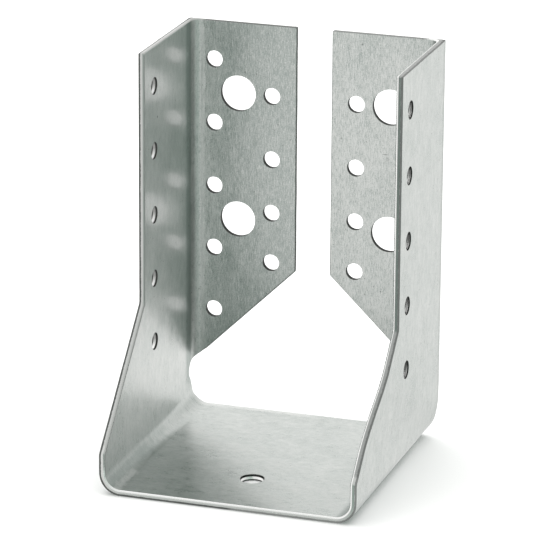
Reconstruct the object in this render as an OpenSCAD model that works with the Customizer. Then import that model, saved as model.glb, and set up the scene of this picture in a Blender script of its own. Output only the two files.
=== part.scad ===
// Joist hanger with inward flanges, folded from one blank of galvanised steel sheet.
// It stands on its seat. X runs across the timber, Y runs along it from the open
// front edge to the header face at the back, and Z is up. The origin is the centre
// of the bounding box's underside.

/* [Timber] */
// Clear width between the side plates, which is the width of the timber carried
joist_w = 76; // [74:1:100]

/* [Sheet] */
// Thickness of the sheet
sheet_t = 2; // [1.5:0.1:2.5]
// Inside radius of the two folds beside the seat
seat_bend_r = 4.5; // [2:0.5:6]
// Inside radius of the two folds beside the flanges
flange_bend_r = 1; // [0.5:0.25:2]

/* [Side plates] */
// Height from the underside of the seat to the top edge
hanger_h = 124; // [118:1:160]
// Depth from the front edge of the seat to the header face
seat_depth = 80; // [66:1:100]
// Depth of the upper part of a side plate, measured the same way
side_depth = 45.3; // [30:0.1:60]
// Height at which the slanted front edge reaches the upper part
side_kink_z = 47.8; // [35:0.1:60]
// Height at which the slanted front edge starts
side_low_z = 12.3; // [9:0.1:20]
// How far the back edge of the seat and of the side plates stands in from the header face
rear_setback = 2; // [1.5:0.1:4]

/* [Flanges] */
// Gap between the tips of the two flanges
flange_gap = 10.8; // [6:0.1:13]
// Height of a flange's lower corner, at its tip
flange_tip_z = 47.8; // [44:0.1:52]
// Height of a flange's slanted lower edge where it meets the side plate
flange_root_z = 16; // [13:0.5:20]
// Radius between the slanted lower edge and the side plate
notch_r = 5; // [2:0.5:7]

/* [Hole sizes] */
// Diameter of the nail holes
nail_d = 5.2; // [4:0.1:6]
// Diameter of the bolt holes in the flanges
bolt_d = 11; // [9:0.5:12]
// Diameter of the single hole in the seat
seat_hole_d = 7; // [4:0.5:9]

/* [Hole places] */
// Nail holes in the outer column of a flange
outer_nail_count = 5; // [3:1:5]
// Nail holes in a side plate
side_nail_count = 5; // [3:1:5]
// Height from one nail hole to the next
nail_pitch = 19.7; // [16:0.1:20.5]
// Distance of the outer column's first nail hole below the top edge
outer_nail_drop = 12; // [8:0.5:14]
// Distance of the outer column from the outside of the side plate
outer_nail_inset = 8.6; // [8:0.1:9.5]
// Distance of the inner column's first nail hole below the top edge
inner_nail_drop = 22; // [18:0.5:23]
// Distance of the inner column from the flange's tip
inner_nail_inset = 7.8; // [5:0.1:8]
// Height from the inner column's second nail hole to its third
inner_third_pitch = 16.8; // [12:0.1:18]
// Height from the inner column's third nail hole to its fourth
inner_fourth_pitch = 15.7; // [12:0.1:17]
// Distance of the upper bolt hole below the top edge
bolt_drop = 22; // [18:0.5:24]
// Height from the upper bolt hole to the lower one
bolt_pitch = 39.4; // [36:0.1:42]
// Distance of the bolt holes from the outside of the side plate
bolt_inset = 16.2; // [16:0.1:17]
// Distance of a side plate's first nail hole below the top edge
side_nail_drop = 12; // [8:0.5:16]
// Distance of the side plate's nail holes behind its upper front edge
side_nail_inset = 8.5; // [5:0.1:12]
// Distance of the seat's hole behind the front edge
seat_hole_inset = 21.5; // [10:0.5:40]

/* [Hidden] */
$fn = 96;

// Extra length of a cutting shape past the face that it cuts
over = 1;

inner_half = joist_w / 2;
outer_half = inner_half + sheet_t;
gap_half = flange_gap / 2;
seat_outer_r = seat_bend_r + sheet_t;
flange_outer_r = flange_bend_r + sheet_t;
front_y = -seat_depth / 2;
back_y = seat_depth / 2;
flange_front_y = back_y - sheet_t;
upper_front_y = back_y - side_depth;
rear_edge_y = back_y - rear_setback;

// The slanted lower edge of a flange, and the arc that joins it to the side plate
slant_angle = atan((flange_tip_z - flange_root_z) / (inner_half - gap_half));
arc_tangent = notch_r / tan((90 + slant_angle) / 2);
arc_run = arc_tangent * cos(slant_angle);
arc_rise = arc_tangent * sin(slant_angle);
notch_z = flange_root_z - arc_tangent;

outer_nail_x = outer_half - outer_nail_inset;
inner_nail_x = gap_half + inner_nail_inset;
bolt_x = outer_half - bolt_inset;
side_nail_y = upper_front_y + side_nail_inset;
seat_hole_y = front_y + seat_hole_inset;

outer_nail_zs = [for (i = [0 : outer_nail_count - 1]) hanger_h - outer_nail_drop - i * nail_pitch];
side_nail_zs = [for (i = [0 : side_nail_count - 1]) hanger_h - side_nail_drop - i * nail_pitch];
inner_first_z = hanger_h - inner_nail_drop;
inner_second_z = inner_first_z - nail_pitch;
inner_third_z = inner_second_z - inner_third_pitch;
inner_fourth_z = inner_third_z - inner_fourth_pitch;
inner_nail_zs = [inner_first_z, inner_second_z, inner_third_z, inner_fourth_z];
bolt_zs = [hanger_h - bolt_drop, hanger_h - bolt_drop - bolt_pitch];

// One shape on the right and its mirror image on the left
module both_sides() {
    children();
    mirror([1, 0, 0]) children();
}

// What a square corner loses when it is rounded, drawn about the centre of the round
module corner_trim(r) {
    difference() {
        square(r + over);
        circle(r);
    }
}

// The front view of a trough: straight sides, a flat floor and a round fold at each side
module trough(half, r, height) {
    difference() {
        translate([-half, 0]) square([2 * half, height]);
        both_sides() translate([half - r, r]) rotate(-90) corner_trim(r);
    }
}

// A front view, drawn in X and Z, made solid between two places along Y
module along_y(from, to) {
    translate([0, to, 0]) rotate([90, 0, 0]) linear_extrude(to - from) children();
}

// A side view, drawn in Y and Z, made solid between two places along X
module along_x(from, to) {
    translate([from, 0, 0]) rotate([90, 0, 90]) linear_extrude(to - from) children();
}

// The outside of the fold: a block with the seat's outer folds and the flanges' outer folds
module outer_form() {
    difference() {
        along_y(front_y, back_y) trough(outer_half, seat_outer_r, hanger_h);
        both_sides() flange_fold_trim();
    }
}

// What the outer form loses at the vertical fold between a side plate and a flange
module flange_fold_trim() {
    translate([outer_half - flange_outer_r, back_y - flange_outer_r, notch_z])
        linear_extrude(hanger_h) corner_trim(flange_outer_r);
}

// The timber's space between the side plates, open at the front and the top
module joist_space() {
    intersection() {
        along_y(front_y - over, back_y + over)
            translate([0, sheet_t]) trough(inner_half, seat_bend_r, hanger_h);
        union() {
            lower_space();
            upper_space();
        }
    }
}

// Below the flanges the timber's space runs out through the back
module lower_space() {
    translate([-outer_half, front_y - over, 0])
        cube([2 * outer_half, seat_depth + 2 * over, notch_z]);
}

// Beside the flanges the timber's space ends at their front face, with a round inner fold
module upper_space() {
    linear_extrude(hanger_h + over) difference() {
        translate([-outer_half, front_y - over])
            square([2 * outer_half, flange_front_y - front_y + over]);
        both_sides() translate([inner_half - flange_bend_r, flange_front_y - flange_bend_r])
            corner_trim(flange_bend_r);
    }
}

// The front view of one half of the opening in the back: the gap between the flanges, the
// slanted lower edge of a flange and the arc below it
module half_window() {
    arc_centre = [inner_half - notch_r, notch_z];
    polygon([
        [-over, hanger_h + over],
        [gap_half, hanger_h + over],
        [gap_half, flange_tip_z],
        [inner_half - arc_run, flange_root_z + arc_rise],
        arc_centre,
        [inner_half, notch_z],
        [inner_half, notch_z - over],
        [-over, notch_z - over]
    ]);
    translate(arc_centre) circle(notch_r);
}

// The opening in the back, between and below the flanges
module back_window() {
    along_y(flange_front_y - over, back_y + over) both_sides() half_window();
}

// The side view of what is cut away behind the seat and the foot of a side plate
module rear_notch_outline() {
    arc_centre = [rear_edge_y + notch_r, notch_z];
    arc_end = [rear_edge_y + arc_run, flange_root_z + arc_rise];
    far_y = rear_edge_y + 2 * notch_r;
    polygon([
        [rear_edge_y, -over],
        [rear_edge_y, notch_z],
        arc_centre,
        arc_end,
        [far_y, arc_end[1] + (far_y - arc_end[0]) * tan(slant_angle)],
        [far_y, -over]
    ]);
    translate(arc_centre) circle(notch_r);
}

// The cut behind the seat, and behind the foot of each side plate
module rear_notch() {
    translate([-outer_half - over, rear_edge_y, -over])
        cube([2 * (outer_half + over), rear_setback + over, notch_z + over]);
    both_sides() along_x(inner_half - flange_bend_r, outer_half + over) rear_notch_outline();
}

// The side view of the two side plates, with their slanted front edge
module side_outline() {
    polygon([
        [front_y, 0],
        [front_y, side_low_z],
        [upper_front_y, side_kink_z],
        [upper_front_y, hanger_h],
        [back_y, hanger_h],
        [back_y, 0]
    ]);
}

// A round hole through a flange, at one place across and one height
module flange_hole(x, z, d) {
    translate([x, back_y + over, z]) rotate([90, 0, 0]) cylinder(d = d, h = sheet_t + 2 * over);
}

// All the nail and bolt holes of both flanges
module flange_holes() {
    both_sides() {
        for (z = outer_nail_zs) flange_hole(outer_nail_x, z, nail_d);
        for (z = inner_nail_zs) flange_hole(inner_nail_x, z, nail_d);
        for (z = bolt_zs) flange_hole(bolt_x, z, bolt_d);
    }
}

// The nail holes of both side plates, each pair on one line across the timber
module side_holes() {
    for (z = side_nail_zs)
        translate([-outer_half - over, side_nail_y, z])
            rotate([0, 90, 0]) cylinder(d = nail_d, h = 2 * (outer_half + over));
}

// The single hole in the seat
module seat_hole() {
    translate([0, seat_hole_y, -over]) cylinder(d = seat_hole_d, h = sheet_t + 2 * over);
}

// The whole hanger, one folded sheet
module hanger() {
    color([0.72, 0.76, 0.73]) difference() {
        intersection() {
            outer_form();
            along_x(-outer_half, outer_half) side_outline();
        }
        joist_space();
        back_window();
        rear_notch();
        flange_holes();
        side_holes();
        seat_hole();
    }
}

hanger();
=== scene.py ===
"""A joist hanger: one galvanised sheet, punched, folded and standing in a small studio."""
import logging
import math
from dataclasses import dataclass, field
from enum import Enum

import bpy
import numpy as np
from mathutils import Matrix, Vector, noise
from mathutils.geometry import delaunay_2d_cdt


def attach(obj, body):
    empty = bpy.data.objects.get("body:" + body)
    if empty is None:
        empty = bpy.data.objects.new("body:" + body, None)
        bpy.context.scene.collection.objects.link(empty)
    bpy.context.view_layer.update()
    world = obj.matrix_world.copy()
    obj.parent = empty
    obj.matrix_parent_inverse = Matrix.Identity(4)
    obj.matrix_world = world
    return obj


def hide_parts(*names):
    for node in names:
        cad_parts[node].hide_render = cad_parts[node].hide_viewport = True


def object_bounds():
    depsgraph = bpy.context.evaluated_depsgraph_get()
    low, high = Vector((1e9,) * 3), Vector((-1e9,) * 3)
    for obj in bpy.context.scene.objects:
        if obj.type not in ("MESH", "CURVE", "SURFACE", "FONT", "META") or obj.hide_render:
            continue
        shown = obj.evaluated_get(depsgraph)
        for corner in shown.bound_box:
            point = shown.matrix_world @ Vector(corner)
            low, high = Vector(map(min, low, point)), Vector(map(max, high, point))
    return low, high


log = logging.getLogger("hanger")

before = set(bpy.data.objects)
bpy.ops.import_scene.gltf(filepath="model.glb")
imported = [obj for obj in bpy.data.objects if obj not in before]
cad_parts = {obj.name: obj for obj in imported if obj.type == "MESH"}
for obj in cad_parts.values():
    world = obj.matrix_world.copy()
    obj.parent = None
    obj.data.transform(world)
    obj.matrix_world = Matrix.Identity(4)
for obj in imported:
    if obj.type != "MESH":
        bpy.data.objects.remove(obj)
CAD_LOW, CAD_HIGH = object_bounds()

MM = 0.001
QUARTER_TURN = math.pi / 2
BLANK = "blank"
# Mesh attribute with each point's level of painted shade and painted highlight on the hole walls
BORED = "bored"
SKY_WAYS = (-158.0, -112.5, -75.0, -47.5, -22.5, 2.5, 27.5, 57.5, 97.5, 150.0)
SKY_SCALE = 2.0

Span = tuple[float, float]
Band = tuple[float, float, float, float]
Triple = tuple[float, float, float]
Socket = bpy.types.NodeSocket


def put(name: str, data: bpy.types.ID) -> bpy.types.Object:
    """Makes an object and puts it into the scene.

    Args:
        name: The object's name.
        data: Its mesh, camera or light.

    Returns:
        The object.
    """
    made = bpy.data.objects.new(name, data)
    bpy.context.scene.collection.objects.link(made)
    return made


@dataclass(frozen=True)
class SheetSizes:
    """The sizes of the folded sheet in metres; the overall ones come from the frame."""

    half_width: float = CAD_HIGH.x
    front: float = CAD_LOW.y
    back: float = CAD_HIGH.y
    height: float = CAD_HIGH.z
    thickness: float = 2.0 * MM
    seat_radius: float = 4.5 * MM
    flange_radius: float = 1.0 * MM
    side_depth: float = 45.3 * MM
    kink_height: float = 47.8 * MM
    low_height: float = 12.3 * MM
    rear_setback: float = 0.6 * MM
    flange_gap: float = 10.8 * MM
    tip_height: float = 47.8 * MM
    root_height: float = 16.0 * MM

    @property
    def inner_half(self) -> float:
        """Half the clear width between the side plates."""
        return self.half_width - self.thickness

    @property
    def seat_half(self) -> float:
        """Half the width of the flat part of the seat, where the seat folds start."""
        return self.inner_half - self.seat_radius

    @property
    def seat_arc(self) -> float:
        """Length of a seat fold, measured along the middle of the sheet."""
        return QUARTER_TURN * (self.seat_radius + self.thickness / 2)

    @property
    def flange_line(self) -> float:
        """Place along Y where a flange fold starts."""
        return self.back - self.thickness - self.flange_radius

    @property
    def flange_arc(self) -> float:
        """Length of a flange fold, measured along the middle of the sheet."""
        return QUARTER_TURN * (self.flange_radius + self.thickness / 2)

    def across(self, z: float) -> float:
        """Where a height on a side plate lies across the flat blank."""
        return self.seat_half + self.seat_arc + z - self.thickness - self.seat_radius

    def along(self, x: float) -> float:
        """Where a distance from the middle, on a flange, lies along the flat blank."""
        return self.flange_line + self.flange_arc + self.inner_half - self.flange_radius - x


class HoleSize(Enum):
    """The three punches that the blank is made with, by diameter."""

    NAIL = 5.2 * MM
    BOLT = 11.0 * MM
    SEAT = 7.0 * MM


@dataclass(frozen=True)
class Hole:
    """One punched hole, placed on the flat blank.

    Args:
        across: Distance from the blank's middle line.
        along: Distance from the blank's origin towards the flanges.
        size: Which punch makes it.
    """

    across: float
    along: float
    size: HoleSize


@dataclass(frozen=True)
class HolePattern:
    """The places of the holes, measured from the edges of the folded hanger."""

    pitch: float = 19.7 * MM
    column: int = 5
    outer_drop: float = 12.0 * MM
    outer_inset: float = 8.6 * MM
    inner_drop: float = 22.0 * MM
    inner_inset: float = 7.8 * MM
    inner_steps: tuple[float, ...] = (0.0, 19.7 * MM, 36.5 * MM, 52.2 * MM)
    bolt_drops: tuple[float, ...] = (22.0 * MM, 61.4 * MM)
    bolt_inset: float = 16.2 * MM
    side_inset: float = 8.5 * MM
    seat_inset: float = 21.5 * MM

    def holes(self, sizes: SheetSizes) -> list[Hole]:
        """Lists every hole of the blank.

        Args:
            sizes: The sheet that is punched.

        Returns:
            The holes of both flanges and both side plates, and the one in the seat.
        """
        top = sizes.height
        nail_drops = [self.outer_drop + i * self.pitch for i in range(self.column)]
        outer = sizes.along(sizes.half_width - self.outer_inset)
        inner = sizes.along(sizes.flange_gap / 2 + self.inner_inset)
        bolts = sizes.along(sizes.half_width - self.bolt_inset)
        side = sizes.back - sizes.side_depth + self.side_inset
        places = [(drop, outer, HoleSize.NAIL) for drop in nail_drops]
        places += [(self.inner_drop + step, inner, HoleSize.NAIL) for step in self.inner_steps]
        places += [(drop, bolts, HoleSize.BOLT) for drop in self.bolt_drops]
        places += [(drop, side, HoleSize.NAIL) for drop in nail_drops]
        made = [Hole(0.0, sizes.front + self.seat_inset, HoleSize.SEAT)]
        for drop, along, size in places:
            across = sizes.across(top - drop)
            made += [Hole(across, along, size), Hole(-across, along, size)]
        return made


@dataclass(frozen=True)
class ShearedEdge:
    """The cross-section that a die leaves: rolled over, sloped, torn, and a small burr."""

    taper: float = 0.26 * MM
    roll_width: float = 0.40 * MM
    roll_depth: float = 0.72 * MM
    tear: float = 1.36 * MM
    step: float = 0.05 * MM
    burr: float = 0.16 * MM
    steps: int = 4

    def rings(self, thickness: float) -> list[tuple[float, float, float, float]]:
        """Works out the rings of the section, from the punched face to the far face.

        Args:
            thickness: Thickness of the sheet.

        Returns:
            For each ring: inset from the cut line, depth in the sheet, and the section's
            normal as an outward part and a part along the depth.
        """
        rings = []
        for i in range(self.steps + 1):
            turn = QUARTER_TURN * i / self.steps
            inset = self.roll_width * (1 - math.sin(turn))
            depth = self.roll_depth * (1 - math.cos(turn))
            rings.append((inset, depth, math.sin(turn), -math.cos(turn)))
        slope = math.atan2(self.taper, self.tear - self.roll_depth)
        rings.append((0.0, self.roll_depth + self.step, math.cos(slope), math.sin(slope)))
        rings.append((self.taper, self.tear, math.cos(slope), math.sin(slope)))
        torn = self.taper + self.step
        rings.append((torn, self.tear + self.step, 1.0, 0.0))
        for i in range(self.steps + 1):
            turn = QUARTER_TURN * i / self.steps
            inset = torn + self.burr * (1 - math.cos(turn))
            depth = thickness - self.burr * (1 - math.sin(turn))
            rings.append((inset, depth, math.cos(turn), math.sin(turn)))
        return rings

    def mouth(self, far: bool) -> float:
        """Tells how far the rim on either face lies from the cut line."""
        return self.taper + self.step + self.burr if far else self.roll_width


@dataclass(frozen=True)
class ReliefNotch:
    """The round relief at the foot of each flange, where the two folds would meet.

    Each corner has its place across and along the blank and its radius, in millimetres. The
    left relief is cut deeper than the right one.
    """

    left: tuple[Triple, ...] = (
        (55.6, 43.2, 1.5), (54.1, 40.2, 1.5), (50.0, 35.4, 3.5), (46.9, 35.4, 4.5), (37.9, 39.4, 8.0),
    )
    right: tuple[Triple, ...] = ((51.2, 38.6, 1.5), (44.6, 38.7, 6.0), (38.0, 39.4, 6.0))

    @staticmethod
    def corners(side: tuple[Triple, ...]) -> list[Triple]:
        """Gives one side's corners in metres, from the flange's edge to the back of the seat."""
        return [(a * MM, q * MM, radius * MM) for a, q, radius in side]


@dataclass(frozen=True)
class Outline:
    """A closed line on the flat blank, by each corner's place across and along and its radius."""

    corners: list[Triple]

    def rounded(self, segment: float) -> list[Vector]:
        """Replaces each corner by an arc.

        Args:
            segment: The longest step along an arc.

        Returns:
            The points of the closed line, in order.
        """
        fewest_steps = 3
        points = []
        count = len(self.corners)
        for i, (a, q, radius) in enumerate(self.corners):
            here = Vector((a, q))
            if not radius:
                points.append(here)
                continue
            before = (Vector(self.corners[i - 1][:2]) - here).normalized()
            after = (Vector(self.corners[(i + 1) % count][:2]) - here).normalized()
            half = before.angle(after) / 2
            centre = here + (before + after).normalized() * (radius / math.sin(half))
            start = here + before * (radius / math.tan(half)) - centre
            sweep = start.angle_signed(here + after * (radius / math.tan(half)) - centre)
            steps = max(fewest_steps, math.ceil(abs(sweep) * radius / segment))
            for k in range(steps + 1):
                turned = Matrix.Rotation(-sweep * k / steps, 2) @ start
                points.append(centre + turned)
        return points

    @staticmethod
    def cut(points: list[Vector], stations: tuple[np.ndarray, np.ndarray]) -> np.ndarray:
        """Adds a point wherever the line crosses a station of the grid.

        Args:
            points: The closed line.
            stations: The grid's places across and along the blank.

        Returns:
            The finer closed line, one row for each point.
        """
        nearest = 0.12 * MM
        no_run = 1e-9
        rows = []
        for i, here in enumerate(points):
            there = points[(i + 1) % len(points)]
            run = there - here
            shares = set()
            for axis in (0, 1):
                if abs(run[axis]) < no_run:
                    continue
                crossed = (stations[axis] - here[axis]) / run[axis]
                shares |= {round(float(s), 6) for s in crossed if 0 < s < 1}
            kept = [0.0]
            for share in sorted(shares):
                gap = min(share - kept[-1], 1 - share)
                if gap * run.length > nearest:
                    kept.append(share)
            rows += [here + run * share for share in kept]
        return np.array(rows)

    @staticmethod
    def circle(centre: Span, radius: float, steps: int) -> np.ndarray:
        """Draws a hole's edge, clockwise so that its outward side is the hole."""
        turns = -np.arange(steps) * 2 * math.pi / steps
        return np.stack([centre[0] + radius * np.cos(turns), centre[1] + radius * np.sin(turns)], 1)

    @staticmethod
    def outward(loop: np.ndarray) -> np.ndarray:
        """Works out the direction away from the sheet at each point of a closed line.

        Args:
            loop: The line, one row for each point.

        Returns:
            One unit direction for each point.
        """
        runs = np.roll(loop, -1, 0) - loop
        sides = np.stack([runs[:, 1], -runs[:, 0]], 1)
        sides /= np.linalg.norm(sides, axis=1)[:, None]
        both = sides + np.roll(sides, 1, 0)
        return both / np.linalg.norm(both, axis=1)[:, None]


@dataclass
class FlatBlank:
    """The punched blank before it is folded: points, faces and normals in flat coordinates.

    A point is (across, along, depth), where depth runs from the face that ends inside the
    hanger, at 0, to the outer face, at the sheet's thickness.
    """

    sizes: SheetSizes
    pattern: HolePattern
    border: ShearedEdge = ShearedEdge()
    bore: ShearedEdge = ShearedEdge(taper=0.06 * MM, roll_width=0.12 * MM, roll_depth=0.14 * MM)
    seat_bore: ShearedEdge = ShearedEdge(taper=0.06 * MM, roll_width=0.34 * MM, roll_depth=0.50 * MM)
    spacing: float = 2.5 * MM
    seat_fold_steps: int = 14
    flange_fold_steps: int = 10
    corner_radius: float = 0.7 * MM
    arc_step: float = 0.35 * MM
    bolt_steps: int = 84
    hole_steps: int = 60
    stray: float = 0.25
    stray_length: float = 3 * MM
    stray_seed: float = 3.7
    # Painted highlight on the hole walls: its level, its rise where the wall faces up, and the seat hole's
    # level
    painted_glint_level: float = 0.40
    painted_glint_rise: float = 0.60
    seat_painted_glint: float = 1.9
    edge_margin: float = 0.9 * MM
    rim_share: float = 0.98
    weld_mm: float = 1e-4
    points: list[Triple] = field(default_factory=list)
    normals: list[Triple] = field(default_factory=list)
    faces: list[tuple[int, ...]] = field(default_factory=list)
    # Each point's hole-wall level: 0 off the holes, 1 for painted shade, up to 2 for painted highlight
    bored: list[float] = field(default_factory=list)

    def stations(self) -> tuple[np.ndarray, np.ndarray]:
        """Sets out the grid: even steps on the flat parts and finer ones in the folds.

        Returns:
            The grid's places across and along the blank.
        """
        s = self.sizes

        def run(start: float, end: float, steps: int) -> np.ndarray:
            """Spaces points evenly from start up to end, without end."""
            return np.linspace(start, end, steps, endpoint=False)

        fold_end = s.seat_half + s.seat_arc
        top = s.across(s.height)
        right = np.concatenate([
            run(0, s.seat_half, round(s.seat_half / self.spacing)),
            run(s.seat_half, fold_end, self.seat_fold_steps),
            run(fold_end, top, round((top - fold_end) / self.spacing)),
        ])
        tip = s.along(s.flange_gap / 2)
        flange_end = s.flange_line + s.flange_arc
        along = np.concatenate([
            run(s.front, s.flange_line, round((s.flange_line - s.front) / self.spacing)),
            run(s.flange_line, flange_end, self.flange_fold_steps),
            run(flange_end, tip, round((tip - flange_end) / self.spacing)),
        ])
        return np.concatenate([-right[:0:-1], right]), along

    def outline(self) -> Outline:
        """Draws the blank's own edge, counter-clockwise from the middle of the front.

        Returns:
            The outline, with the round notch at the foot of each flange.
        """
        s = self.sizes
        r = self.corner_radius
        rear = s.back - s.rear_setback
        upper = s.back - s.side_depth
        tip = s.along(s.flange_gap / 2)
        top = s.across(s.height)
        shared = [
            (s.across(s.low_height), s.front, 2 * r),
            (s.across(s.kink_height), upper, 2 * r),
            (top, upper, r),
            (top, tip, r),
            (s.across(s.tip_height), tip, r),
        ]
        notch = ReliefNotch()
        right = shared + notch.corners(notch.right)
        left = [(-a, q, radius) for a, q, radius in reversed(shared + notch.corners(notch.left))]
        return Outline([(0.0, s.front, 0.0), *right, (0.0, rear, 0.0), *left])

    def build(self) -> None:
        """Makes the walls of every edge and the two faces between them."""
        stations = self.stations()
        outer = Outline.cut(self.outline().rounded(self.arc_step), stations)
        holes = self.pattern.holes(self.sizes)
        rims = [self._wall(outer, self.border, 0.0)]
        for hole in holes:
            steps = self.bolt_steps if hole.size is HoleSize.BOLT else self.hole_steps
            loop = Outline.circle((hole.across, hole.along), hole.size.value / 2, steps)
            # The side plates' nail holes and the seat hole get a painted highlight on their walls
            painted_glint = hole.size is not HoleSize.BOLT and hole.along < self.sizes.flange_line
            rims.append(self._wall(loop, self.edge(hole), float(painted_glint)))
        for side, places in ((0, 1), (-1, 2)):
            self._face(side, [(rim[side], rim[places]) for rim in rims], stations, holes)

    def edge(self, hole: Hole) -> ShearedEdge:
        """Tells which section a hole's wall has."""
        return self.seat_bore if hole.size is HoleSize.SEAT else self.bore

    def _wall(self, loop: np.ndarray, edge: ShearedEdge, painted_glint: float) -> list:
        """Sweeps the sheared section along one edge.

        Args:
            loop: The cut line.
            edge: The section.
            painted_glint: How much painted highlight the lower part of a hole's wall gets, from 0 to 1.

        Returns:
            The first ring's point numbers and flat places, then the last ring's flat places
            and point numbers.
        """
        out = Outline.outward(loop)
        rings = []
        flats = []
        steps = np.cumsum(np.linalg.norm(loop - np.roll(loop, 1, 0), axis=1))
        stray = self.stray if edge is self.border else 0.0
        start = loop[0][0] / MM
        places = [Vector((step / self.stray_length, start, self.stray_seed)) for step in steps]
        wander = 1 + stray * np.array([noise.noise(place) for place in places])
        # Hole walls get painted shade at level 1 and painted highlight up to 2, most where they face up;
        # the seat hole's wall is nearly all highlight
        upward = np.clip(out[:, 0] * np.sign(loop[:, 0]), 0, 1)
        marks = 1 + painted_glint * (self.painted_glint_level + self.painted_glint_rise * upward)
        if edge is self.border:
            marks = np.zeros(len(loop))
        if edge is self.seat_bore:
            marks = np.full(len(loop), self.seat_painted_glint)
        for inset, depth, side, deep in edge.rings(self.sizes.thickness):
            flat = loop - out * (inset * wander)[:, None]
            first = len(self.points)
            self.bored += marks.tolist()
            self.points += [(p[0], p[1], depth) for p in flat]
            self.normals += [(n[0] * side, n[1] * side, deep) for n in out]
            rings.append(list(range(first, first + len(loop))))
            flats.append(flat)
        for upper, lower in zip(rings, rings[1:]):
            for i in range(len(loop)):
                j = (i + 1) % len(loop)
                self.faces.append((upper[j], upper[i], lower[i], lower[j]))
        return [rings[0], flats[0], flats[-1], rings[-1]]

    def _face(self, side: int, rims: list, stations: tuple, holes: list[Hole]) -> None:
        """Fills one face of the blank between its rims.

        Args:
            side: 0 for the inner face and -1 for the outer one.
            rims: For each rim, its point numbers and its flat places.
            stations: The grid's places across and along the blank.
            holes: The holes, which stay open.
        """
        numbers, flat, edges = [], [], []
        for ids, places in rims:
            first = len(flat)
            numbers += ids
            flat += [tuple(p) for p in places]
            edges += [(first + i, first + (i + 1) % len(ids)) for i in range(len(ids))]
        border = np.array(flat[: len(rims[0][0])])
        grid = np.array([(a, q) for a in stations[0] for q in stations[1]])
        depth = 0.0 if side == 0 else self.sizes.thickness
        facing = -1.0 if side == 0 else 1.0
        reaches = [
            hole.size.value / 2 + self.rim_share * self.edge(hole).mouth(far=side != 0) for hole in holes
        ]
        grid = grid[self._inside(grid, border, holes, self.edge_margin, reaches)]
        for a, q in grid:
            numbers.append(len(self.points))
            flat.append((a, q))
            self.bored.append(0.0)
            self.points.append((a, q, depth))
            self.normals.append((0.0, 0.0, facing))
        scale = 1 / MM
        made = delaunay_2d_cdt([Vector(p) * scale for p in flat], edges, [], 0, self.weld_mm, True)
        spots, triangles, origins = np.array([tuple(v) for v in made[0]]) * MM, made[2], made[3]
        middles = spots[np.array([tuple(t) for t in triangles])].mean(1)
        keep = self._inside(middles, border, holes, 0.0, reaches)
        for triangle, kept in zip(triangles, keep):
            if kept:
                ids = [numbers[origins[v][0]] for v in triangle]
                self.faces.append(tuple(reversed(ids) if side else ids))

    @staticmethod
    def _inside(
        spots: np.ndarray, border: np.ndarray, holes: list[Hole], margin: float, reaches: list[float]
    ) -> np.ndarray:
        """Tells which places lie on the sheet, clear of its edges.

        Args:
            spots: The places to test.
            border: The outer rim.
            holes: The holes.
            margin: How far from an edge a place has to lie.
            reaches: How far each hole's rim lies from its centre on this face.

        Returns:
            One truth value for each place.
        """
        level_run, no_length = 1e-12, 1e-18
        ends = np.roll(border, -1, 0)
        crossing = np.zeros(len(spots), bool)
        near = np.full(len(spots), np.inf)
        for start, end in zip(border, ends):
            run = end - start
            above = (start[1] > spots[:, 1]) != (end[1] > spots[:, 1])
            if above.any():
                share = (spots[:, 1] - start[1]) / (run[1] or level_run)
                crossing ^= above & (spots[:, 0] < start[0] + share * run[0])
            if margin:
                reach = spots - start
                length = max(run[0] ** 2 + run[1] ** 2, no_length)
                share = np.clip((reach[:, 0] * run[0] + reach[:, 1] * run[1]) / length, 0, 1)
                gap = np.hypot(reach[:, 0] - share * run[0], reach[:, 1] - share * run[1])
                near = np.minimum(near, gap)
        good = crossing & (near > margin)
        for hole, reach in zip(holes, reaches):
            gap = np.hypot(spots[:, 0] - hole.across, spots[:, 1] - hole.along)
            good &= gap > reach + margin
        return good


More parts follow.
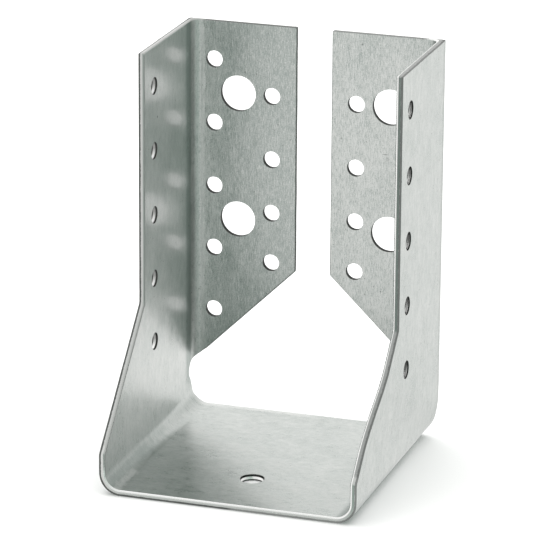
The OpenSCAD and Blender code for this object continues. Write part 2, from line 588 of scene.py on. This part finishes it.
@dataclass
class FoldedSheet:
    """Folds a flat blank into the hanger."""

    sizes: SheetSizes
    foot_blend: float = 2.6 * MM
    foot_drop: float = 6.0 * MM
    ease: float = math.radians(5.0)
    ease_reach: float = 3.2 * MM
    pressed_inner: float = 2.5 * MM
    pressed_outer: float = 1.0 * MM
    plate_reach: float = 8.0 * MM
    flange_reach: float = 3.0 * MM
    bow: float = 1.75 * MM
    bow_full: Span = (1.0 * MM, 20.0 * MM)
    bow_end: Span = (10.5 * MM, 52.0 * MM)

    def eased(self, share: np.ndarray, outside: np.ndarray) -> np.ndarray:
        """Turns a normal a little before and after its fold, as a pressed fold does.

        Args:
            share: How far through the fold each point lies, from 0 to 1.
            outside: How far each point lies from the fold, where it is not in it.

        Returns:
            The angle through which each normal turns.
        """
        tail = self.ease * np.exp(-outside / self.ease_reach)
        before, after = share <= 0, share >= 1
        inside = self.ease + (QUARTER_TURN - 2 * self.ease) * share
        return np.where(before, tail, np.where(after, QUARTER_TURN - tail, inside))

    def fold(self, flat: np.ndarray, normals: np.ndarray) -> tuple[np.ndarray, np.ndarray]:
        """Bends points and their normals along the four fold lines.

        Args:
            flat: One row of (across, along, depth) for each point.
            normals: The matching normals on the flat blank.

        Returns:
            The folded points and normals, in the row frame.
        """
        s = self.sizes
        side = np.where(flat[:, 0] < 0, -1.0, 1.0)
        across, along, depth = np.abs(flat[:, 0]), flat[:, 1], flat[:, 2]
        rise = normals[:, 0] * side
        foot = self._foot(across)
        share = np.clip((along - s.flange_line) / s.flange_arc, 0, 1)
        turn = QUARTER_TURN * share * foot
        past = np.maximum(along - s.flange_line - s.flange_arc, 0)
        squeeze = depth / s.thickness
        radius = self.pressed_inner * (1 - squeeze) + self.pressed_outer * squeeze
        shift = depth - radius + s.flange_radius
        start = self._reached(s.flange_line - along, self.plate_reach, shift)
        end = self._reached(past, self.flange_reach, shift)
        bent_y = np.minimum(along, s.flange_line) + start + radius * np.sin(turn)
        bent_out = radius * np.cos(turn) - s.flange_radius - past + end
        bent_out = np.where(share < 1, shift + radius * np.cos(turn) - s.flange_radius, bent_out)
        bent_y = np.where(share < 1, bent_y, s.flange_line + shift + radius)
        y = foot * bent_y + (1 - foot) * along
        out = foot * bent_out + (1 - foot) * depth
        turn = self.eased(share, np.maximum(s.flange_line - along, past)) * foot
        to_y = normals[:, 1] * np.cos(turn) + normals[:, 2] * np.sin(turn)
        to_out = normals[:, 2] * np.cos(turn) - normals[:, 1] * np.sin(turn)
        share = np.clip((across - s.seat_half) / s.seat_arc, 0, 1)
        turn = QUARTER_TURN * share
        past = np.maximum(across - s.seat_half - s.seat_arc, 0)
        radius = s.seat_radius + out
        x = np.minimum(across, s.seat_half) + radius * np.sin(turn) + past * np.cos(turn)
        z = s.thickness + s.seat_radius - radius * np.cos(turn) + past * np.sin(turn)
        turn = self.eased(share, np.maximum(s.seat_half - across, past))
        to_x = rise * np.cos(turn) + to_out * np.sin(turn)
        to_z = rise * np.sin(turn) - to_out * np.cos(turn)
        return self._bowed(np.stack([side * x, y, z], 1), np.stack([side * to_x, to_y, to_z], 1))

    def _bowed(self, points: np.ndarray, normals: np.ndarray) -> tuple[np.ndarray, np.ndarray]:
        """Draws the foot of the right side plate in, as the real one came from the press.

        Args:
            points: The folded points.
            normals: Their normals.

        Returns:
            The points and normals of the sheet as it really stands.
        """
        s = self.sizes
        span = s.back - s.front

        def shift(x: np.ndarray, y: np.ndarray, z: np.ndarray) -> np.ndarray:
            """Tells how far a point moves, which is leftwards and on the right half alone.

            Args:
                x: The points' places from left to right.
                y: Their places from front to back.
                z: Their heights.

            Returns:
                One signed distance for each point.
            """
            front = (s.back - y) / span
            full = self.bow_full[0] + (self.bow_full[1] - self.bow_full[0]) * front
            end = self.bow_end[0] + (self.bow_end[1] - self.bow_end[0]) * front
            share = np.clip((end - z) / (end - full), 0, 1)
            return -self.bow * share * share * (3 - 2 * share) * np.clip(x / s.seat_half, 0, 1)

        x, y, z = points.T
        tiny = 0.05 * MM
        slope_y = (shift(x, y + tiny, z) - shift(x, y - tiny, z)) / (2 * tiny)
        slope_z = (shift(x, y, z + tiny) - shift(x, y, z - tiny)) / (2 * tiny)
        to_x, to_y, to_z = normals.T
        turned = np.stack([to_x, to_y - to_x * slope_y, to_z - to_x * slope_z], 1)
        moved = np.stack([x + shift(x, y, z), y, z], 1)
        return moved, turned / np.linalg.norm(turned, axis=1)[:, None]

    @staticmethod
    def _reached(gap: np.ndarray, reach: float, shift: np.ndarray) -> np.ndarray:
        """Fades a shift of the fold's edge out over a distance."""
        return shift * np.clip(1 - gap / reach, 0, 1)

    def _foot(self, across: np.ndarray) -> np.ndarray:
        """Fades the flange fold out below the notch, where the sheet's edge stays flat.

        Args:
            across: The points' distances from the blank's middle line.

        Returns:
            How much of the fold each point takes part in, from 0 to 1.
        """
        start = self.sizes.across(self.sizes.root_height) - self.foot_drop
        share = np.clip((across - start) / self.foot_blend, 0, 1)
        return share * share * (3 - 2 * share)


@dataclass(frozen=True)
class Value:
    """A socket's number, which changes over the surface; operators add its Math nodes."""

    bench: "NodeBench"
    socket: Socket

    def _math(self, operation: str, *terms: "Value | float") -> "Value":
        """Adds one Math node and wraps its output."""
        inputs = dict(enumerate(terms))
        return self.bench.value("ShaderNodeMath", {"operation": operation}, inputs)

    def __add__(self, other: "Value | float") -> "Value":
        """Adds a value or a number."""
        return self._math("ADD", self, other)

    __radd__ = __add__

    def __sub__(self, other: "Value | float") -> "Value":
        """Takes a value or a number away."""
        return self._math("SUBTRACT", self, other)

    def __rsub__(self, other: "Value | float") -> "Value":
        """Takes this value away from a number."""
        return self._math("SUBTRACT", other, self)

    def __mul__(self, other: "Value | float") -> "Value":
        """Multiplies by a value or a number."""
        return self._math("MULTIPLY", self, other)

    __rmul__ = __mul__

    def __abs__(self) -> "Value":
        """Drops the sign."""
        return self._math("ABSOLUTE", self)

    def above(self, low: float, high: float) -> "Value":
        """Rises smoothly from 0 to 1.

        Args:
            low: Where it leaves 0.
            high: Where it reaches 1.

        Returns:
            The new value.
        """
        settings = {"interpolation_type": "SMOOTHSTEP"}
        inputs = {"Value": self, "From Min": low, "From Max": high}
        return self.bench.value("ShaderNodeMapRange", settings, inputs, "Result")

    def below(self, low: float, high: float) -> "Value":
        """Falls smoothly from 1 at low to 0 at high."""
        return 1 - self.above(low, high)

    def within(self, low: float, high: float, ebb: float, end: float) -> "Value":
        """Rises smoothly from low to high and falls again from ebb to end."""
        return self.above(low, high) * self.below(ebb, end)


class NodeBench:
    """Makes the nodes of one material."""

    def __init__(self, tree: bpy.types.NodeTree) -> None:
        """Takes a node tree and empties it."""
        self.tree = tree
        tree.nodes.clear()

    def node(self, kind: str, settings: dict | None = None, inputs: dict | None = None) -> bpy.types.Node:
        """Adds a node.

        Args:
            kind: The node's type.
            settings: Its properties, which are set first.
            inputs: Socket names or numbers, each with a value or a link.

        Returns:
            The new node.
        """
        made = self.tree.nodes.new(kind)
        for name, value in (settings or {}).items():
            if name == "stops":
                self._fill_ramp(made.color_ramp, value)
            else:
                setattr(made, name, value)
        for name, value in (inputs or {}).items():
            source = value.socket if isinstance(value, Value) else value
            if isinstance(source, Socket):
                self.tree.links.new(source, made.inputs[name])
            else:
                made.inputs[name].default_value = source
        return made

    @staticmethod
    def _fill_ramp(ramp: bpy.types.ColorRamp, stops: list[Span]) -> None:
        """Gives a ramp its grey stops.

        Args:
            ramp: The ramp to fill.
            stops: Each stop's position and level.
        """
        ramp.interpolation = "EASE"
        while len(ramp.elements) < len(stops):
            ramp.elements.new(1.0)
        for element, (position, level) in zip(ramp.elements, stops):
            element.position = position
            element.color = (level, level, level, 1.0)

    def close(self, shader: str, inputs: dict, output: str = "ShaderNodeOutputMaterial") -> None:
        """Adds the shader and the output node that it feeds."""
        made = self.node(shader, {}, inputs)
        self.node(output, {}, {"Surface": made.outputs[0]})

    def value(self, kind: str, settings: dict, inputs: dict, output: str | int = 0) -> Value:
        """Adds a node and wraps one of its outputs as a number."""
        return Value(self, self.node(kind, settings, inputs).outputs[output])

    def stretched(self, place: Socket, steps: Triple) -> Socket:
        """Divides a place by a size along each of its axes."""
        inputs = {0: place, 1: steps}
        return self.node("ShaderNodeVectorMath", {"operation": "DIVIDE"}, inputs).outputs[0]

    def cloud(self, place: Socket, detail: float, roughness: float) -> Value:
        """Adds a noise that is about 1 unit of place across, from 0 to 1."""
        inputs = {"Vector": place, "Scale": 1.0, "Detail": detail, "Roughness": roughness}
        return self.value("ShaderNodeTexNoise", {}, inputs)

    def mixed(self, share: Value, low: tuple | Socket, high: tuple | Socket) -> Socket:
        """Mixes two colours.

        Args:
            share: How much of the second colour there is, from 0 to 1.
            low: The first colour, or the socket that carries it.
            high: The second one.

        Returns:
            The socket that carries the mixed colour.
        """
        first, second, result = 6, 7, 2
        made = self.node("ShaderNodeMix", {"data_type": "RGBA"}, {"Factor": share})
        for socket, colour in ((made.inputs[first], low), (made.inputs[second], high)):
            if isinstance(colour, Socket):
                self.tree.links.new(colour, socket)
            else:
                socket.default_value = (*colour, 1.0)
        return made.outputs[result]


class Mark(Enum):
    """Single dark marks: place across and along, half size across and along, and strength."""

    PLATE_SPECK = (-137.6, 5.9, 0.42, 0.42, 0.9)
    FLANGE_SCRATCH = (123.0, 54.7, 0.16, 1.1, 0.65)
    FLANGE_SCUFF = (121.6, 54.0, 0.9, 0.7, 0.22)
    TOP_SPECK = (156.2, 62.3, 0.38, 0.34, 0.6)
    TIP_SPECK = (126.8, 68.5, 0.40, 0.28, 0.55)


class Grain(Enum):
    """The finish's noises: size across, along and through the sheet, detail and roughness."""

    ROLLED = ((1.9, 0.30, 3.0), 2.0, 0.6)
    STREAK = ((9.0, 0.55, 3.0), 2.0, 0.6)
    SPECKLE = ((0.42, 0.34, 3.0), 2.0, 0.7)
    PATCHES = ((3.4, 2.2, 3.0), 3.0, 0.6)
    CLOUDS = ((13.0, 8.0, 3.0), 2.0, 0.5)
    DOT_GROUPS = ((11.0, 9.0, 3.0), 1.0, 0.5)
    DOTS_KEPT = ((1.3, 1.3, 3.0), 1.0, 0.5)
    SCRATCHES_KEPT = ((6.0, 6.0, 3.0), 1.0, 0.5)
    SCUFF_RIM = ((1.6, 3.4, 3.0), 1.0, 0.5)


@dataclass(frozen=True)
class SheetRegions:
    """Where the finish and its painted shade and highlights change, in millimetres on the flat blank.

    A span is where a region fades in or out, and a band is both. Those of the bored parts
    are levels that the mesh carries instead: 0 off the holes, and 1 to 2 from painted shade
    to painted highlight on the hole walls.
    """

    right: Span = (-1.0, 1.0)
    off_seat: Span = (42.0, 50.0)
    coarse: Span = (36.0, 41.0)
    flange: Span = (40.0, 44.0)
    # Where the painted shade at the flanges' top fades in
    flange_top: Span = (138.0, 156.0)
    bend: Band = (35.0, 36.5, 39.5, 42.0)
    # Painted highlight past the left flange fold, painted shade before it and painted light over the left
    # plate
    bend_glint: Band = (36.0, 38.0, 43.0, 52.0)
    bend_shadow: Band = (30.0, 34.0, 36.0, 38.0)
    plate: Span = (44.0, 50.0)
    plate_end: Span = (30.0, 34.0)
    film: Span = (62.0, 84.0)
    # Darker, rougher band along the inside of the seat folds, fading out towards the back
    pressed: Band = (33.0, 36.5, 38.5, 42.0)
    pressed_end: Span = (-14.0, 14.0)
    scuff_width: Band = (-37.0, -35.6, -34.0, -33.2)
    scuff_end: Span = (-23.5, -22.5)
    scuff_depth: Span = (0.5, 1.0)
    wall: Band = (0.02, 0.07, 1.92, 1.98)
    sheared: Span = (0.50, 0.66)
    torn: Span = (1.30, 1.44)
    # Where the painted shade on the left side's rolled rim fades in
    left_rim_shade: Span = (42.0, 45.0)
    # Where the painted shade on the plates' cut edges fades in, off the seat's front
    slanted_edge: Span = (-38.5, -37.5)
    bore_middle: Band = (0.58, 0.76, 1.45, 1.60)
    bored: Span = (0.3, 0.7)
    bored_dark: Span = (1.0, 1.5)
    # Levels where the painted highlight on the hole walls fades in
    bore_painted_glint_levels: Span = (1.0, 2.0)


class SheetMaps:
    """The coordinates, noises and regions that the finish and its painted shade and highlights are mixed
    from.
    """

    def __init__(self, bench: NodeBench, regions: SheetRegions) -> None:
        """Reads the coordinates that the mesh carries and makes every shared map.

        Args:
            bench: The material's bench.
            regions: Where the finish changes.
        """
        self.bench = bench
        self.regions = regions
        self.place = bench.node("ShaderNodeAttribute", {"attribute_name": BLANK}).outputs["Vector"]
        parts = bench.node("ShaderNodeSeparateXYZ", {}, {0: self.place}).outputs
        self.across, self.along, self.depth = (Value(bench, parts[axis]) for axis in "XYZ")
        bored = bench.node("ShaderNodeAttribute", {"attribute_name": BORED})
        self.level = Value(bench, bored.outputs["Fac"])
        self.grain = self.noise(Grain.ROLLED) - 0.5
        self.streak = self.noise(Grain.STREAK) - 0.5
        self.speckle = self.noise(Grain.SPECKLE) - 0.5
        self.patches = self.noise(Grain.PATCHES) - 0.5
        self.clouds = self.noise(Grain.CLOUDS) - 0.5
        self._zones()

    def _zones(self) -> None:
        """Makes the regions of the two faces and of the cut edges."""
        regions, along, far = self.regions, self.along, abs(self.across)
        off_seat = far.above(*regions.off_seat)
        self.right = self.across.above(*regions.right)
        self.left = 1 - self.right
        self.flange = along.above(*regions.flange)
        self.flange_top = far.above(*regions.flange_top)
        self.bend = along.within(*regions.bend) * off_seat
        # Painted highlight past the left fold, painted shade before it, painted light over the left plate
        self.glint = along.within(*regions.bend_glint)
        self.shadow = along.within(*regions.bend_shadow) * off_seat
        self.plate = along.below(*regions.plate_end) * far.above(*regions.plate)
        self.film = self.left * along.below(*regions.plate_end) * far.above(*regions.film)
        self.pressed = far.within(*regions.pressed) * along.below(*regions.pressed_end)
        self.scuff = self._scuff()
        self.wall = self.depth.within(*regions.wall)
        self.torn = (self.depth + self.mix(grain=0.5, speckle=0.3)).above(*regions.torn)
        # Left side, whose rolled rim gets painted shade
        self.left_rim_shade = self.left * far.above(*regions.left_rim_shade)
        self.bored = self.level.above(*regions.bored)
        self.bored_dark = self.bored * self.level.below(*regions.bored_dark)

    def _scuff(self) -> Value:
        """Rubs a ragged patch into the front of the left seat fold.

        Returns:
            How much of the patch each place is, from 0 to 1.
        """
        regions, rim_depth, end_depth = self.regions, 4.0, 5.0
        rim = (self.noise(Grain.SCUFF_RIM) - 0.5) * rim_depth
        width = (self.across + self.mix(patches=1.5) + rim).within(*regions.scuff_width)
        length = (self.along + self.patches * end_depth).below(*regions.scuff_end)
        return width * length * self.depth.below(*regions.scuff_depth)

    def noise(self, grain: Grain) -> Value:
        """Makes one of the noises, from 0 to 1."""
        steps, detail, roughness = grain.value
        return self.bench.cloud(self.bench.stretched(self.place, steps), detail, roughness)

    def flecks(self, size: Triple, edge: Span) -> Value:
        """Scatters spots, one to a cell, whose rims fade over a span of distances."""
        cells = {"Vector": self.bench.stretched(self.place, size), "Scale": 1.0}
        return self.bench.value("ShaderNodeTexVoronoi", {}, cells).below(*edge)

    def mix(self, **weights: float) -> Value:
        """Adds up the maps that are named, each by its weight."""
        parts = [getattr(self, name) * weight for name, weight in weights.items()]
        return sum(parts[1:], start=parts[0])


@dataclass(frozen=True)
class GalvanisedFinish:
    """Zinc-coated sheet with rolling grain, soft clouding, specks and bare cut edges, with painted shade
    and highlights on the faces, the cut edges and the hole walls.
    """

    name: str = "galvanised_sheet"
    regions: SheetRegions = SheetRegions()
    bright: Triple = (0.715, 0.728, 0.716)
    dull: Triple = (0.390, 0.430, 0.414)
    speck: Triple = (0.16, 0.17, 0.165)
    # Bright rolled rim, partly its polish and partly a painted glint, and its painted shade on the left
    # side
    rolled: Triple = (0.96, 0.965, 0.96)
    rolled_painted_shade: Triple = (0.50, 0.51, 0.50)
    sheared: Triple = (0.62, 0.63, 0.62)
    # Painted shade on the sheared band of the plates' edges
    sheared_painted_shade: Triple = (0.38, 0.39, 0.385)
    # Near-black colour of the lowest band of the cut edges, a share lighter on the right side
    torn: Triple = (0.12, 0.125, 0.122)
    # Near-black painted shade on the hole walls, and the painted highlight on the middle of the side
    # holes' lower walls and the seat hole's wall
    bore: Triple = (0.03, 0.032, 0.03)
    bore_painted_glint: Triple = (0.97, 0.97, 0.965)
    tone: float = 0.5
    coarse_gain: float = 1.3
    fine_gain: float = 1.1
    # Painted shade over both flanges; the right one gets painted light on top of it
    flange_painted_shade: float = 0.17
    dot_size: Triple = (1.7, 1.5, 3.0)
    dot_edge: Span = (0.07, 0.19)
    dot_groups: Span = (0.50, 0.60)
    dots_kept: Span = (0.52, 0.60)
    dot_strength: float = 0.75
    scratch_size: Triple = (2.6, 9.0, 3.0)
    scratch_edge: Span = (0.035, 0.06)
    scratches_kept: Span = (0.60, 0.66)
    scratch_strength: float = 0.6
    mark_edge: Span = (0.5, 1.1)
    # Share of that painted edge shade on the left, and the extra share on the right
    painted_edge_shade_base: float = 0.4
    painted_edge_shade_right: float = 0.6
    # Share by which the flanges' cut edges are darkened towards the near-black colour
    flange_edge_darkening: float = 0.75
    tear_fade_right: float = 0.3
    roughness: float = 0.30
    cut_polish: float = 0.04
    bump_strength: float = 0.5
    bump_depth: float = 0.07 * MM
    film_weight: float = 0.85
    film_roughness: float = 0.15

    def _specks(self, maps: SheetMaps) -> Value:
        """Scatters dark pinpricks and short scratches, in loose groups.

        Args:
            maps: The sheet's maps.

        Returns:
            How much of a speck each place is, from 0 to 1.
        """
        groups = maps.noise(Grain.DOT_GROUPS).above(*self.dot_groups)
        dots = maps.flecks(self.dot_size, self.dot_edge)
        kept = maps.noise(Grain.DOTS_KEPT).above(*self.dots_kept)
        scratches = maps.flecks(self.scratch_size, self.scratch_edge)
        rare = maps.noise(Grain.SCRATCHES_KEPT).above(*self.scratches_kept)
        return dots * kept * groups * self.dot_strength + scratches * rare * self.scratch_strength

    def _marks(self, maps: SheetMaps) -> Value:
        """Sets the few single marks that are big enough to notice.

        Args:
            maps: The sheet's maps.

        Returns:
            How much of a mark each place is, from 0 to 1.
        """
        bench = maps.bench
        marks = []
        for mark in Mark:
            across, along, half_across, half_along, strength = mark.value
            inputs = {0: maps.place, 1: (across, along, 0.0)}
            apart = bench.node("ShaderNodeVectorMath", {"operation": "SUBTRACT"}, inputs).outputs[0]
            inputs = {0: bench.stretched(apart, (half_across, half_along, 1.0))}
            reach = bench.value("ShaderNodeVectorMath", {"operation": "LENGTH"}, inputs, "Value")
            marks.append(reach.below(*self.mark_edge) * strength)
        return sum(marks[1:], start=marks[0])

    def _face(self, maps: SheetMaps) -> Socket:
        """Colours the zinc on the two faces, with painted shade and light on the flanges and the left
        side.

        Args:
            maps: The sheet's maps.

        Returns:
            The socket that carries the colour.
        """
        coarse = maps.along.above(*self.regions.coarse) * self.coarse_gain + self.fine_gain
        shade = maps.mix(grain=0.95, speckle=0.85) * coarse
        shade = shade + maps.mix(patches=0.8, clouds=0.7, streak=0.4) + self.tone
        # Painted shade on the left flange and the flanges' tops and painted light on the right one; on the
        # left side, a painted highlight past the fold, painted shade before it and painted light over the
        # plate
        shade = shade + maps.flange * (maps.mix(right=0.34, flange_top=-0.12) - self.flange_painted_shade)
        shade = shade + maps.left * maps.mix(glint=0.36, shadow=-0.62, plate=0.20)
        # Lightens the ragged scuff and darkens the band along the inside of the seat folds
        shade = shade + maps.mix(scuff=0.55, pressed=-0.42)
        face = maps.bench.mixed(shade, self.dull, self.bright)
        return maps.bench.mixed(self._specks(maps) + self._marks(maps), face, self.speck)

    def _cut(self, maps: SheetMaps) -> Socket:
        """Colours the sheared edges and the punched bores, with painted shade on the plates' edges and the
        left rolled rim, and painted shade and highlights on the hole walls.

        Args:
            maps: The sheet's maps.

        Returns:
            The socket that carries the colour.
        """
        mixed = maps.bench.mixed
        # Painted shade on the sheared band of the edges off the seat's front, stronger on the right side
        painted_edge_shade = maps.right * self.painted_edge_shade_right + self.painted_edge_shade_base
        painted_edge_shade = maps.along.above(*self.regions.slanted_edge) * painted_edge_shade
        # Painted shade on the left side's rolled rim
        rolled = mixed(maps.left_rim_shade, self.rolled, self.rolled_painted_shade)
        sheared = mixed(painted_edge_shade, self.sheared, self.sheared_painted_shade)
        cut = mixed(maps.depth.above(*self.regions.sheared), rolled, sheared)
        # Darkens most of the flanges' cut edges towards the near-black colour
        cut = mixed(maps.flange * self.flange_edge_darkening, cut, self.torn)
        cut = mixed(maps.torn * (1 - maps.right * self.tear_fade_right), cut, self.torn)
        # Painted highlight on the middle of the side holes' lower walls and the seat hole's wall, over the
        # near-black painted shade
        painted_glint = maps.level.above(*self.regions.bore_painted_glint_levels) * maps.depth.within(*self.regions.bore_middle)
        return mixed(maps.bored, cut, mixed(painted_glint, self.bore, self.bore_painted_glint))

    def _roughness(self, maps: SheetMaps) -> Value:
        """Works out how rough the metal is.

        Args:
            maps: The sheet's maps.

        Returns:
            The roughness.
        """
        noises = maps.mix(clouds=0.12, patches=0.12, grain=0.10)
        zones = maps.mix(pressed=0.14, bend=0.14, scuff=0.16, film=0.14)
        walls = maps.wall * (maps.mix(torn=0.2, bored_dark=0.3) - self.cut_polish)
        return noises + self.roughness + zones + walls

    def material(self) -> bpy.types.Material:
        """Makes the material.

        Returns:
            The finished material, which reads the blank's own coordinates from the mesh.
        """
        made = bpy.data.materials.new(self.name)
        made.use_nodes = True
        bench = NodeBench(made.node_tree)
        maps = SheetMaps(bench, self.regions)
        height = maps.mix(grain=0.5, speckle=0.25, patches=1.4, clouds=4.0, streak=0.4)
        inputs = {"Strength": self.bump_strength, "Distance": self.bump_depth, "Height": height}
        bump = bench.node("ShaderNodeBump", {}, inputs)
        inputs = {
            "Base Color": bench.mixed(maps.wall, self._face(maps), self._cut(maps)),
            "Metallic": 1.0,
            "Roughness": self._roughness(maps),
            "Normal": bump.outputs[0],
            "Coat Weight": maps.film * self.film_weight,
            "Coat Roughness": self.film_roughness,
        }
        bench.close("ShaderNodeBsdfPrincipled", inputs)
        return made


@dataclass(frozen=True)
class Hanger:
    """The whole hanger: blank, folds and finish."""

    sizes: SheetSizes

    def build(self) -> bpy.types.Object:
        """Punches, folds and dresses the sheet.

        Returns:
            The finished piece, riding on the root body in place of the solid.
        """
        blank = FlatBlank(self.sizes, HolePattern())
        blank.build()
        flat = np.array(blank.points)
        points, normals = FoldedSheet(self.sizes).fold(flat, np.array(blank.normals))
        mesh = bpy.data.meshes.new("folded_sheet")
        mesh.from_pydata([tuple(p) for p in points], [], blank.faces)
        mesh.polygons.foreach_set("use_smooth", [True] * len(mesh.polygons))
        mesh.attributes.new(BLANK, "FLOAT_VECTOR", "POINT").data.foreach_set("vector", (flat / MM).ravel())
        mesh.attributes.new(BORED, "FLOAT", "POINT").data.foreach_set("value", blank.bored)
        mesh.update()
        mesh.normals_split_custom_set_from_vertices([tuple(n) for n in normals])
        mesh.materials.append(GalvanisedFinish().material())
        piece = put("folded_sheet", mesh)
        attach(piece, "root")
        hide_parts("hanger")
        log.info("folded sheet: %d points, %d faces", len(mesh.vertices), len(mesh.polygons))
        return piece


@dataclass(frozen=True)
class StudioCamera:
    """The camera, placed by the angles that the photograph was taken at."""

    azimuth: float = math.radians(18.056)
    elevation: float = math.radians(17.958)
    roll: float = math.radians(0.374)
    distance: float = 1162.5 * MM
    target: Triple = (0.0, 5.0 * MM, 60.0 * MM)
    slide: Span = (-2.556 * MM, -0.932 * MM)
    focal_px: float = 3958.6
    frame_px: int = 540
    sensor: float = 36.0
    clip: Span = (10 * MM, 20.0)

    def place(self) -> bpy.types.Object:
        """Makes the camera and hands it to the scene.

        Returns:
            The camera.
        """
        az, el = self.azimuth, self.elevation
        back = Vector((math.sin(az) * math.cos(el), -math.cos(az) * math.cos(el), math.sin(el)))
        level = Vector((math.cos(az), math.sin(az), 0.0))
        upright = back.cross(level)
        right = level * math.cos(self.roll) + upright * math.sin(self.roll)
        up = upright * math.cos(self.roll) - level * math.sin(self.roll)
        data = bpy.data.cameras.new("camera")
        data.sensor_width = self.sensor
        data.lens = self.focal_px / self.frame_px * self.sensor
        data.clip_start, data.clip_end = self.clip
        made = put("camera", data)
        spot = Vector(self.target) + back * self.distance + right * self.slide[0] + up * self.slide[1]
        turned = Matrix((right, up, back)).transposed().to_4x4()
        made.matrix_world = Matrix.Translation(spot) @ turned
        bpy.context.scene.camera = made
        return made


class SkyBand(Enum):
    """How bright the light tent is around the hanger, at one height above the horizon.

    Each band has its height in degrees and ten levels, one for each compass direction of
    SKY_WAYS. The dark ones are the opening that the camera looks through.
    """

    LOW = (-37.0, (0.97, 0.98, 0.99, 1.00, 0.96, 0.84, 0.54, 0.62, 0.82, 0.97))
    FLOOR = (-12.0, (1.09, 1.09, 1.14, 1.19, 0.90, 1.22, 0.40, 0.58, 0.84, 1.12))
    SIDE = (12.0, (1.10, 1.11, 1.11, 1.06, 0.85, 0.73, 0.46, 0.64, 0.84, 0.87))
    HIGH = (40.0, (1.30, 1.15, 1.07, 1.01, 0.87, 0.77, 0.73, 0.83, 0.93, 0.97))


@dataclass(frozen=True)
class LightTent:
    """White cloth all round the hanger, with one dim opening where the camera stands."""

    nadir: float = 0.80
    zenith: float = 1.02
    nadir_height: float = -62.0
    zenith_height: float = 68.0
    strength: float = 0.99
    white: Triple = (1.0, 1.0, 0.985)
    dim: Triple = (0.80, 1.0, 0.90)
    white_from: Span = (0.35, 1.0)

    def hang(self) -> None:
        """Makes the world that the hanger reflects."""
        world = bpy.data.worlds.new("light_tent")
        bpy.context.scene.world = world
        world.use_nodes = True
        bench = NodeBench(world.node_tree)
        way = bench.node("ShaderNodeTexCoord").outputs["Generated"]
        parts = bench.node("ShaderNodeSeparateXYZ", {}, {0: way})
        x, y, z = (Value(bench, parts.outputs[axis]) for axis in "XYZ")
        turn = bench.value("ShaderNodeMath", {"operation": "ARCTAN2"}, {0: x, 1: y * -1})
        turn = turn * (0.5 / math.pi) + 0.5
        rise = bench.value("ShaderNodeMath", {"operation": "ARCSINE"}, {0: z}) * math.degrees(1)
        level = self._ring(bench, turn, SkyBand.LOW)
        below = SkyBand.LOW
        level = rise.above(self.nadir_height, below.value[0]) * (level - self.nadir) + self.nadir
        for band in (SkyBand.FLOOR, SkyBand.SIDE, SkyBand.HIGH):
            share = rise.above(below.value[0], band.value[0])
            level = level + share * (self._ring(bench, turn, band) - level)
            below = band
        level = level + rise.above(below.value[0], self.zenith_height) * (self.zenith - level)
        colour = bench.mixed(level.above(*self.white_from), self.dim, self.white)
        inputs = {"Color": colour, "Strength": level * self.strength}
        bench.close("ShaderNodeBackground", inputs, "ShaderNodeOutputWorld")

    @staticmethod
    def _ring(bench: NodeBench, turn: Value, band: SkyBand) -> Value:
        """Reads one band's level for a compass direction.

        Args:
            bench: The world's bench.
            turn: The direction, from 0 to 1 once round from the back by the left.
            band: The band to read.

        Returns:
            The level.
        """
        levels = band.value[1]
        seam = (levels[0] + levels[-1]) / 2
        stops = [(way / 360 + 0.5, level / SKY_SCALE) for way, level in zip(SKY_WAYS, levels)]
        stops = [(0.0, seam / SKY_SCALE), *stops, (1.0, seam / SKY_SCALE)]
        ramp = bench.value("ShaderNodeValToRGB", {"stops": stops}, {0: turn})
        return ramp * SKY_SCALE


@dataclass(frozen=True)
class Studio:
    """A white floor in a light tent, with one soft lamp for the floor."""

    floor_size: float = 6.0
    floor_colour: Triple = (0.90, 0.90, 0.90)
    floor_roughness: float = 0.9
    floor_gloss: float = 0.1
    lamp_place: Triple = (0.0, 0.35, 0.9)
    lamp_aim: Triple = (0.0, 0.15, 0.0)
    lamp_size: Span = (1.5, 1.2)
    lamp_power: float = 9.0

    def build(self) -> None:
        """Makes the floor, the tent and the lamp."""
        self._floor()
        LightTent().hang()
        self._lamp()
        bpy.context.scene.view_settings.view_transform = "Standard"
        log.info("studio: floor, light tent and lamp")

    def _floor(self) -> None:
        """Lays the plain floor at the height that the hanger stands on."""
        half = self.floor_size / 2
        mesh = bpy.data.meshes.new("floor")
        corners = [(-half, -half, 0.0), (half, -half, 0.0), (half, half, 0.0), (-half, half, 0.0)]
        mesh.from_pydata(corners, [], [(0, 1, 2, 3)])
        made = bpy.data.materials.new("floor")
        made.use_nodes = True
        bench = NodeBench(made.node_tree)
        inputs = {
            "Base Color": (*self.floor_colour, 1.0),
            "Roughness": self.floor_roughness,
            "Specular IOR Level": self.floor_gloss,
        }
        bench.close("ShaderNodeBsdfPrincipled", inputs)
        mesh.materials.append(made)
        floor = put("floor", mesh)
        floor.visible_glossy = False

    def _lamp(self) -> None:
        """Hangs the soft rectangular lamp above the hanger."""
        data = bpy.data.lights.new("overhead", "AREA")
        data.shape = "RECTANGLE"
        data.size, data.size_y = self.lamp_size
        data.energy = self.lamp_power
        made = put("overhead", data)
        made.visible_glossy = False
        made.location = self.lamp_place
        made.rotation_mode = "QUATERNION"
        facing = Vector(self.lamp_place) - Vector(self.lamp_aim)
        made.rotation_quaternion = facing.to_track_quat("Z", "Y")


def main() -> None:
    """Builds the camera, the hanger and the studio."""
    logging.basicConfig(level=logging.INFO, format="%(name)s: %(message)s")
    StudioCamera().place()
    Hanger(SheetSizes()).build()
    Studio().build()


if __name__ == "__main__":
    main()
